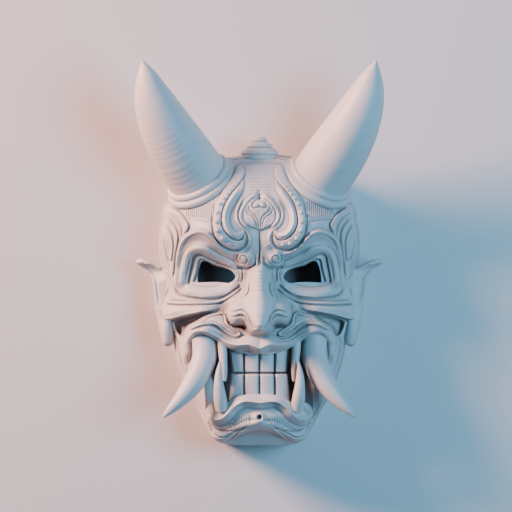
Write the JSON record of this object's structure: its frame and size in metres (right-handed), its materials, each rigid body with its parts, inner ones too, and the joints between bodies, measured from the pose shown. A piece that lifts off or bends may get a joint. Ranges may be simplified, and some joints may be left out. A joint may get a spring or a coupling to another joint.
{
  "type": "oni mask",
  "caption": "Hollow horned demon face mask with carved brows, bared teeth, outward tusks and pointed ears, lying on its flat back rim.",
  "frame": {"origin": "on the face's middle plane, halfway between the chin and the horn tips, on the plane of the flat back rim", "axes": "+Z out of the face towards the viewer, +Y up the face towards the horn tips, +X to the viewer's right; the mask lies on its back rim on Z = 0"},
  "size_m": [0.196, 0.3003, 0.0993],
  "materials": {
    "cast_resin": "unpainted pale grey cast resin with fine build lines, matte",
    "horn_resin": "unpainted pale grey cast resin with soft growth rings, matte",
    "tusk_resin": "unpainted pale grey cast resin, smooth, matte"
  },
  "bodies": {
    "root": {"mask_face": "cast_resin", "left_horn": "horn_resin", "right_horn": "horn_resin", "left_tusk": "tusk_resin", "right_tusk": "tusk_resin"}
  },
  "joints": []
}
